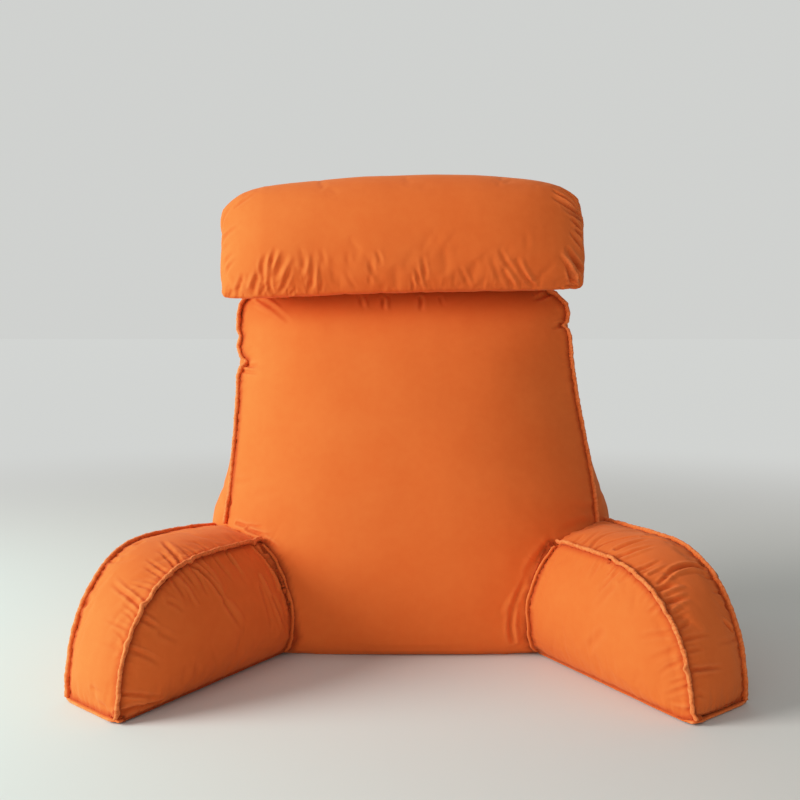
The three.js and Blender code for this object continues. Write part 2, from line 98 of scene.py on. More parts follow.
def makeAir(air):
    world = bpy.data.worlds.new("air")
    world.use_nodes = True
    tree = world.node_tree
    background = tree.nodes["Background"]
    background.inputs["Strength"].default_value = 1
    seen = Wire(tree, tree.nodes.new("ShaderNodeLightPath").outputs["Is Camera Ray"])
    dim = [value * air["strength"] for value in air["colour"]]
    link(tree, mixColours(tree, seen, dim, air["backdrop"]), background, "Color")
    scene.world = world


def loadFilm(curve):
    settings = scene.view_settings
    settings.view_transform = "Standard"
    settings.use_curve_mapping = True
    mapping = settings.curve_mapping
    mapping.clip_max_x = 2  # reds brighter than 1 stay on the curve
    red = mapping.curves[0]
    red.points[0].location, red.points[1].location = curve[0], curve[-1]
    for dark, light in curve[1:-1]:
        red.points.new(dark, light)
    mapping.extend = "HORIZONTAL"
    mapping.update()


class Wire:  # a node's output, on which expressions add Math nodes
    def __init__(self, tree, socket):
        self.tree = tree
        self.socket = socket

    def math(self, operation, *values):
        return node(self.tree, "ShaderNodeMath", {"operation": operation}, values)

    def __add__(self, other):
        return self.math("ADD", self, other)

    def __radd__(self, other):
        return self.math("ADD", other, self)

    def __sub__(self, other):
        return self.math("SUBTRACT", self, other)

    def __rsub__(self, other):
        return self.math("SUBTRACT", other, self)

    def __mul__(self, other):
        return self.math("MULTIPLY", self, other)

    def __rmul__(self, other):
        return self.math("MULTIPLY", other, self)

    def over(self, low, high):  # 0 below low, 1 above high
        values = {"Value": self, "From Min": low, "From Max": high}
        return node(self.tree, "ShaderNodeMapRange", {"clamp": True}, values)


def node(tree, kind, settings, values, output=0):  # values go to sockets by name, or in order
    made = tree.nodes.new(kind)
    for key, value in settings.items():
        setattr(made, key, value)
    for key, value in (values.items() if isinstance(values, dict) else enumerate(values)):
        if isinstance(value, Wire):
            tree.links.new(value.socket, made.inputs[key])
        else:
            made.inputs[key].default_value = value
    return Wire(tree, made.outputs[output])


def noiseWire(tree, place, scale, detail):
    return node(tree, "ShaderNodeTexNoise", {}, {"Vector": place, "Scale": scale, "Detail": detail})


def bumpWire(tree, strength, distance, height):
    values = {"Strength": strength, "Distance": distance * mm, "Height": height}
    return node(tree, "ShaderNodeBump", {}, values)


def paintWire(tree, name):  # what paint() has put on the points
    return node(tree, "ShaderNodeAttribute", {"attribute_name": name}, {}, "Fac")


def mixColours(tree, share, first, second):
    start, end = [value if isinstance(value, Wire) else (*value, 1) for value in (first, second)]
    return node(tree, "ShaderNodeMix", {"data_type": "RGBA"}, {0: share, 6: start, 7: end}, 2)


def link(tree, wire, surface, socket):
    tree.links.new(wire.socket, surface.inputs[socket])


def newMaterial(name):
    material = bpy.data.materials.new(name)
    material.use_nodes = True
    tree = material.node_tree
    place = node(tree, "ShaderNodeTexCoord", {}, {}, "Object")
    return material, tree, tree.nodes["Principled BSDF"], place


# the open cloth, its faded patches, its painted shade in folds and seams and painted highlight on
# ridges;
# patches and mottle are how many to a metre, and nap is its size in millimetres
cloth = {
    "colour": (0.71, 0.130, 0.0195), "faded": (0.78, 0.168, 0.031),
    # the colour of the painted shade, and how much of it is mixed in at most
    "shaded": (0.34, 0.034, 0.0035), "deepest": 0.85,
    # the colour of the painted highlight, and how much of it is mixed in
    "highlightColour": (0.88, 0.27, 0.085), "highlightShare": 0.65,
    "patches": 11, "mottle": 90, "nap": 1.1, "napHeight": 0.35, "bump": 0.55,
    "roughness": 0.80, "napRoughness": 0.12, "gloss": 0.2,
    "sheen": 0.18, "sheenRoughness": 0.45, "sheenTint": (1, 0.55, 0.25, 1),
}


def brushedCloth(name, facts):
    material, tree, surface, place = newMaterial(name)
    patches = noiseWire(tree, place, facts["patches"], 2)
    mottle = noiseWire(tree, place, facts["mottle"], 3)
    nap = noiseWire(tree, place, 1000 / facts["nap"], 3)
    fade = patches.over(0.3, 0.7) * 0.45 + mottle.over(0.25, 0.75) * 0.3 + nap.over(0.2, 0.8) * 0.25
    flat = mixColours(tree, fade, facts["colour"], facts["faded"])
    # painted highlight on crease ridges and shoulders and on welt crowns
    withPaintedHighlight = mixColours(tree, paintWire(tree, "paintedHighlight") * facts["highlightShare"], flat, facts["highlightColour"])
    # painted shade in creases, beside the welts, at their feet and in their notches
    withPaintedShade = mixColours(tree, paintWire(tree, "paintedShade") * facts["deepest"], withPaintedHighlight, facts["shaded"])
    link(tree, withPaintedShade, surface, "Base Color")
    link(tree, facts["roughness"] + facts["napRoughness"] * nap, surface, "Roughness")
    height = nap * 0.6 + mottle * 0.8
    link(tree, bumpWire(tree, facts["bump"], facts["napHeight"], height), surface, "Normal")
    surface.inputs["Sheen Weight"].default_value = facts["sheen"]
    surface.inputs["Sheen Roughness"].default_value = facts["sheenRoughness"]
    surface.inputs["Sheen Tint"].default_value = facts["sheenTint"]
    surface.inputs["Specular IOR Level"].default_value = facts["gloss"]
    return material


def makeFloor(facts, backdrop):  # far off, the floor fades into the backdrop
    material, tree, surface, place = newMaterial("floor")
    away = node(tree, "ShaderNodeVectorMath", {"operation": "LENGTH"}, {"Vector": place}, "Value")
    far = away.over(facts["fadeFrom"], facts["fadeTo"])
    far = far * far * (3 - 2 * far)
    link(tree, mixColours(tree, far, facts["colour"], (0, 0, 0)), surface, "Base Color")
    link(tree, mixColours(tree, far, (0, 0, 0), backdrop), surface, "Emission Color")
    surface.inputs["Emission Strength"].default_value = 1
    surface.inputs["Roughness"].default_value = facts["roughness"]
    surface.inputs["Specular IOR Level"].default_value = facts["gloss"]
    floor = bpy.data.objects.new("floor", bpy.data.meshes.new("floor"))
    scene.collection.objects.link(floor)
    sheet = bmesh.new()
    bmesh.ops.create_grid(sheet, x_segments=1, y_segments=1, size=facts["size"])
    sheet.to_mesh(floor.data)
    sheet.free()
    floor.data.materials.append(material)


makeCamera()
makeLamp("window", studio["window"])
makeLamp("room", studio["room"])
makeLamp("skylight", studio["skylight"])
makeAir(studio["air"])
loadFilm(film)
print("camera and light set")

clothMaterial = brushedCloth("brushed cloth", cloth)
makeFloor(studio["floor"], studio["air"]["backdrop"])
print("cloth and floor made")


def mergedCopy(name, source):  # a CAD node's triangles are loose, so its copy is merged
    piece = bpy.data.objects.new(name, nodes[source].data.copy())
    scene.collection.objects.link(piece)
    piece.data.materials.clear()
    shape = bmesh.new()
    shape.from_mesh(piece.data)
    bmesh.ops.remove_doubles(shape, verts=shape.verts, dist=0.002 * mm)
    shape.to_mesh(piece.data)
    shape.free()
    return piece


def bake(piece):  # puts what the modifiers show into the piece's own mesh
    bpy.context.view_layer.update()
    shown = piece.evaluated_get(bpy.context.evaluated_depsgraph_get())
    mesh = bpy.data.meshes.new_from_object(shown)
    piece.modifiers.clear()
    old = piece.data
    piece.data = mesh
    bpy.data.meshes.remove(old)
    mesh.name = piece.name


def remesh(piece, size):
    step = piece.modifiers.new("remesh", "REMESH")
    step.mode = "VOXEL"
    step.voxel_size = size * mm
    step.adaptivity = 0
    bake(piece)


def subdivide(piece):
    step = piece.modifiers.new("subdivide", "SUBSURF")
    step.levels = step.render_levels = 1
    bake(piece)


def soften(piece, times):
    step = piece.modifiers.new("soften", "SMOOTH")
    step.iterations = times
    step.factor = 0.5
    bake(piece)


def finishPiece(piece, material, source):
    piece.data.materials.append(material)
    piece.data.shade_smooth()
    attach(piece, "root")
    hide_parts(source)


def readPoints(piece, what="co"):
    values = np.empty(len(piece.data.vertices) * 3, np.float32)
    piece.data.vertices.foreach_get(what, values)
    return values.reshape(-1, 3).astype(np.float64)


def movePoints(piece, points):
    piece.data.vertices.foreach_set("co", points.astype(np.float32).ravel())
    piece.data.update()


def paint(piece, name, values):  # one value for each point, which the material reads
    attribute = piece.data.attributes.get(name) or piece.data.attributes.new(name, "FLOAT", "POINT")
    attribute.data.foreach_set("value", values.astype(np.float32))


def treeOf(names):  # a search tree over CAD nodes
    corners, faces = [], []
    for name in names:
        mesh = nodes[name].data
        start = len(corners)
        corners += [vertex.co.copy() for vertex in mesh.vertices]
        faces += [[start + index for index in face.vertices] for face in mesh.polygons]
    return BVHTree.FromPolygons(corners, faces)


def lineTree(corners):  # a search tree over a seam that has no welt, as a strip 2 mm wide
    line = bmesh.new()
    ends = [line.verts.new([value * mm for value in corner]) for corner in corners]
    for first, second in zip(ends, ends[1:]):
        line.edges.new((first, second))
    strip = bmesh.ops.extrude_edge_only(line, edges=line.edges[:])["geom"]
    edge = [item for item in strip if isinstance(item, bmesh.types.BMVert)]
    bmesh.ops.translate(line, verts=edge, vec=(0, 2 * mm, mm))
    tree = BVHTree.FromBMesh(line)
    line.free()
    return tree


def nearest(points, tree):  # for each point, the nearest place on the tree and how far it is
    found = [tree.find_nearest(Vector(point)) for point in points]
    return np.array([hit[0] for hit in found]), np.array([hit[3] for hit in found])


def uneven(places, size, seed):  # smooth noise from -1 to 1, its features about size millimetres
    shift = Vector((seed * 3.1, seed * 1.7, seed * 2.3))
    scale = 1 / (size * mm)
    return np.array([noise.noise(Vector(place) * scale + shift) for place in places])


def bell(distance, wide):
    return np.exp(-((distance / (wide * mm)) ** 2))


filling = {"stretch": 12, "bend": 0.5, "steps": 20, "quality": 5}


def inflate(piece, held, pressure, slack, cap):  # blows the cover up with its seams held
    group = piece.vertex_groups.new(name="held")
    for level in np.unique(held[held > 0]):
        group.add([int(index) for index in np.nonzero(held == level)[0]], float(level), "REPLACE")
    start = readPoints(piece)
    fill = piece.modifiers.new("filling", "CLOTH")
    settings = fill.settings
    settings.quality = filling["quality"]
    settings.use_pressure = True
    settings.uniform_pressure_force = pressure
    settings.shrink_min = -slack
    settings.tension_stiffness = settings.compression_stiffness = filling["stretch"]
    settings.shear_stiffness = filling["stretch"] / 2
    settings.bending_stiffness = filling["bend"]
    settings.vertex_group_mass = "held"
    settings.effector_weights.gravity = 0
    fill.collision_settings.use_collision = False
    for step in range(1, filling["steps"] + 1):
        scene.frame_set(step)
    bake(piece)
    scene.frame_set(1)
    moved = readPoints(piece) - start
    far = np.linalg.norm(moved, axis=1, keepdims=True)
    # a point may move by the cap at most, and one that didn't move isn't divided by zero
    movePoints(piece, start + moved * cap * mm * np.tanh(far / (cap * mm)) / np.maximum(far, 1e-9))
    piece.vertex_groups.clear()
    mean, most = [round(float(value / mm), 1) for value in (far.mean(), far.max())]
    print("  blown up by", mean, "mm, at most", most)


# how near its seams, its neighbours and the floor a cover stays where it is and is held, how firmly
# and in how many degrees; then how far from its seams it is drawn to them before and after it is
# blown up, how short of them it ends and how far it moves at most; all lengths are millimetres
holding = {"seam": 14, "touch": 10, "held": 7, "base": 1.5, "firm": 1.25, "degrees": 4,
           "reachBefore": 5, "reachAfter": (6.5, 5), "short": 0.3, "pull": 12}


def reachSeams(piece, tree, far):  # draws the cover out to the seams that a remesh has rounded off
    points = readPoints(piece)
    places, away = nearest(points, tree)
    pull = np.clip(away / mm - holding["short"], 0, holding["pull"])
    share = pull / np.maximum(away / mm, 0.1) * bell(away, far)
    movePoints(piece, points + (places - points) * share[:, None])


def refine(piece, wanted):  # halves the edges where small folds are to come
    shape = bmesh.new()
    shape.from_mesh(piece.data)
    shape.verts.ensure_lookup_table()
    edges = [edge for edge in shape.edges if all(wanted[end.index] for end in edge.verts)]
    bmesh.ops.subdivide_edges(shape, edges=edges, cuts=1, use_grid_fill=True)
    bmesh.ops.triangulate(shape, faces=[face for face in shape.faces if len(face.verts) > 4])
    shape.to_mesh(piece.data)
    shape.free()


# a crease on a side that the camera sees is placed in its picture: where it starts, bends and ends,
# strong end first, with its half width, all in points of the picture, and its depth in millimetres
seenColumns = ("x1", "y1", "x2", "y2", "x3", "y3", "wide", "deep")

# a crease on a hidden side runs from x1 y1 z1 to x2 y2 z2, bows sideways, and all is in millimetres
hiddenColumns = ("x1", "y1", "z1", "x2", "y2", "z2", "bow", "wide", "deep")

# a depth below zero is a ridge; a group of seen creases is pressed deeper or shallower than its rows
# say, made narrower, and is at least so wide in millimetres; the order of the rows, the hidden ones
# last, sets how each crease wanders
usualGroup = {"narrow": 0.75, "least": 2.0}


def seenPlace(solid, across, down):  # where the camera sees a place of its picture on a cushion
    middle = view["picture"] / 2
    sight = Vector((across - middle, middle - down, -focal)).normalized()
    sight.rotate(tilt)
    place = solid.ray_cast(eye, sight)[0]
    if place is None:  # the line just misses the cushion, so it is the nearest place on its edge
        nearby = [solid.find_nearest(eye + sight * away * mm) for away in range(*view["distances"])]
        place = min(nearby, key=lambda found: found[3])[0]
    return place


def placeCreases(name, facts):  # finds each crease's ends; bow, half width and depth are millimetres
    solid = treeOf([name])
    placed = []
    for group in facts["seen"]:
        group = {**usualGroup, **group}
        for row in group["rows"]:
            crease = dict(zip(seenColumns, row))
            places = [seenPlace(solid, crease["x" + spot], crease["y" + spot]) for spot in "123"]
            first, bend, last = places
            side = solid.find_nearest(bend)[1].cross(last - first).normalized()
            bow = (bend - (first + last) / 2).dot(side) / mm
            wide = crease["wide"] * (first - eye).length / mm / focal * group["narrow"]
            placed.append({"first": first, "last": last, "bow": round(bow, 1),
                           "wide": round(max(wide, group["least"]), 1),
                           "deep": round(crease["deep"] * group["press"], 1)})
    for row in facts["hidden"]:
        crease = dict(zip(hiddenColumns, row))
        for end, number in (("first", "1"), ("last", "2")):
            crease[end] = Vector([crease[axis + number] for axis in "xyz"]) * mm
        placed.append(crease)
    return placed


# a crease's path has a point every so many millimetres and wanders a little; one shorter than so many
# half widths is shallower; a trough has a raised shoulder on each side, and edges are halved near it,
# all at so many half widths; sharp folds get painted shade and their ridges a painted highlight
folds = {
    "step": 1.5, "leastSteps": 6, "wander": 0.7, "wanderSteps": 9, "short": 4.5,
    "shoulderAt": 2.0, "shoulderWide": 0.85, "shoulderHigh": 0.38, "refined": 3, "reach": 3.6,
    "dark": 0.26, "darkMost": 0.75, "light": 0.45, "lightMost": 0.6, "faint": 0.02,
}


def layCreases(piece, creases, start):  # finds each crease's path on the cover and its strength
    tree = BVHTree.FromPolygons([vertex.co for vertex in piece.data.vertices],
                                [face.vertices for face in piece.data.polygons])
    paths = []
    for seed, crease in enumerate(creases):
        last = crease["last"]
        first = crease["first"] - (last - crease["first"]).normalized() * start["before"] * mm
        normal = tree.find_nearest((first + last) / 2)[1]
        side = normal.cross(last - first).normalized()
        steps = max(folds["leastSteps"], int((last - first).length / (folds["step"] * mm)))
        path = []
        for step in range(steps + 1):
            t = step / steps
            wander = noise.noise(Vector((t * steps / folds["wanderSteps"], seed * 7.7, 0)))
            drift = 4 * t * (1 - t) * crease["bow"] + folds["wander"] * wander
            path.append(tree.find_nearest(first.lerp(last, t) + side * drift * mm)[0])
        along = np.linspace(0, 1, steps + 1)
        strength = np.minimum(1, start["share"] + 3 * along) * (1 - along ** 2) ** 0.9 + folds["faint"]
        strength *= min(1, (last - first).length / (folds["short"] * crease["wide"] * mm))
        paths.append((np.array(path), strength, crease))
    return paths


def creaseShares(points, paths, reach):  # for each crease, the points near it, how far and how strong
    for path, strength, crease in paths:
        wide = crease["wide"] * mm
        low, high = path.min(0) - reach * wide, path.max(0) + reach * wide
        inside = np.nonzero(((points > low) & (points < high)).all(1))[0]
        if len(inside):
            gaps = np.linalg.norm(points[inside][:, None] - path[None], axis=2)
            nearestStep = gaps.argmin(1)
            distance = gaps[np.arange(len(inside)), nearestStep] / wide
            close = distance < reach
            yield inside[close], distance[close], strength[nearestStep[close]], crease


def pressCreases(piece, creases, start):
    paths = layCreases(piece, creases, start)
    wanted = np.zeros(len(piece.data.vertices), bool)
    for inside, distance, strength, crease in creaseShares(readPoints(piece), paths, folds["refined"]):
        wanted[inside] = True
    refine(piece, wanted)
    points, normals = readPoints(piece), readPoints(piece, "normal")
    rise, paintedShade, paintedHighlight = np.zeros((3, len(points)))
    for inside, distance, strength, crease in creaseShares(points, paths, folds["reach"]):
        deep = crease["deep"]
        sharp = abs(deep) / crease["wide"] * strength
        middle = np.exp(-(distance ** 2))
        shoulder = np.exp(-(((distance - folds["shoulderAt"]) / folds["shoulderWide"]) ** 2))
        rise[inside] -= deep * mm * strength * (middle - folds["shoulderHigh"] * shoulder)
        # a trough gets painted shade along it and a painted highlight on its shoulders; a ridge the
        # other way round
        shaded, lit = (middle, shoulder * 0.5) if deep > 0 else (shoulder * 0.3, middle)
        shaded = np.minimum(folds["dark"] * sharp * shaded, folds["darkMost"])
        lit = np.minimum(folds["light"] * sharp * lit, folds["lightMost"])
        paintedShade[inside] = np.maximum(paintedShade[inside], shaded)
        paintedHighlight[inside] = np.maximum(paintedHighlight[inside], lit)
    movePoints(piece, points + normals * rise[:, None])
    paint(piece, "paintedHighlight", paintedHighlight)
    return paintedShade


# the gathers at a seam: how far in they reach at most and how much they fan out, their finer waves,
# how unevenly long they are, how sharp and deep their valleys are; then how large the filling's lumps
# are and how far from a seam they are full, and how high above the floor it all sets in
gathers = {
    "within": 70, "fan": 0.12, "finer": 2.1, "fineShare": 0.45, "unevenSize": 3, "uneven": 0.8,
    "shortest": 4, "valley": 0.16, "waveShare": 0.7, "valleyShare": 1.1,
    "lumpSize": 80, "lumpsFrom": 40, "floorFrom": 8,
}


def pucker(piece, tree, facts):  # short gathers that run in from the seams, and broad soft lumps
    points, normals = readPoints(piece), readPoints(piece, "normal")
    places, away = nearest(points, tree)
    near = np.nonzero(away < gathers["within"] * mm)[0]
    spots = places[near] + gathers["fan"] * (points[near] - places[near])
    seed, wide = facts["seed"], facts["wide"]
    fine = uneven(spots, wide / gathers["finer"], seed + 5)
    waves = uneven(spots, wide, seed) + gathers["fineShare"] * fine
    valleys = np.exp(-((waves / gathers["valley"]) ** 2))
    longer = 1 + gathers["uneven"] * uneven(spots, wide * gathers["unevenSize"], seed + 9)
    length = np.maximum(facts["long"] * longer * mm, gathers["shortest"] * mm)
    shape = gathers["waveShare"] * waves - gathers["valleyShare"] * valleys
    rise = np.zeros(len(points))
    rise[near] = facts["deep"] * mm * shape * np.exp(-((away[near] / length) ** 2))
    lumps = facts["lumps"] * mm * uneven(points, gathers["lumpSize"], seed + 20)
    rise += lumps * np.clip(away / (gathers["lumpsFrom"] * mm), 0, 1)
    rise *= np.clip(points[:, 2] / (gathers["floorFrom"] * mm), 0, 1)
    movePoints(piece, points + normals * rise[:, None])


def nudge(piece, table):  # pushes what lies near a place: x y z, push x y z and reach in millimetres
    points = readPoints(piece)
    moved = points.copy()
    for x, y, z, pushX, pushY, pushZ, reach in table:
        share = bell(np.linalg.norm(points - np.array((x, y, z)) * mm, axis=1), reach)
        moved += np.array((pushX, pushY, pushZ)) * mm * share[:, None]
    movePoints(piece, moved)


# the groove beside a welt: its half width, how far from the seam and above the floor it is full, and
# the half width of the painted shade line in the seam, in millimetres
sinking = {"wide": 2.8, "fullAt": 2, "floorFrom": 3, "darkWide": 5}


def sinkSeams(piece, tree, facts, paintedShade):  # a groove on each side of the welt, with painted shade along the seam
    points, normals = readPoints(piece), readPoints(piece, "normal")
    away = nearest(points, tree)[1]
    groove = facts["groove"] * mm * bell(away - facts["grooveAt"] * mm, sinking["wide"])
    groove *= np.clip(away / (sinking["fullAt"] * mm), 0, 1)
    points -= normals * groove[:, None] * np.clip(points[:, 2:] / (sinking["floorFrom"] * mm), 0, 1)
    points[:, 2] = np.maximum(points[:, 2], 0)
    movePoints(piece, points)
    # painted shade along the seam, darkest at the welt
    shaded = facts["dark"] * bell(away, sinking["darkWide"])
    paint(piece, "paintedShade", np.clip(np.maximum(paintedShade, shaded), 0, 1))


# each cushion's cover: its voxel, how far it is first drawn in, the pressure and slack that blow it up
# and the most it may move, how full it is, the groove beside its welts, how far from them it lies and
# how much painted shade lies along them, and how far before its first place a crease starts, with what
# share of its depth; the arms' covers are blown up and gathered alike
arm = {
    "touches": ["backrest"], "voxel": 4.5, "shrink": 1.5, "pressure": 4, "slack": 0.012, "cap": 6,
    "fill": 0.65, "groove": 1.2, "grooveAt": 3.2, "dark": 0.95, "start": {"before": 3, "share": 0.75},
}
armPuckers = {"deep": 0.9, "long": 15, "wide": 9, "lumps": 1.0}

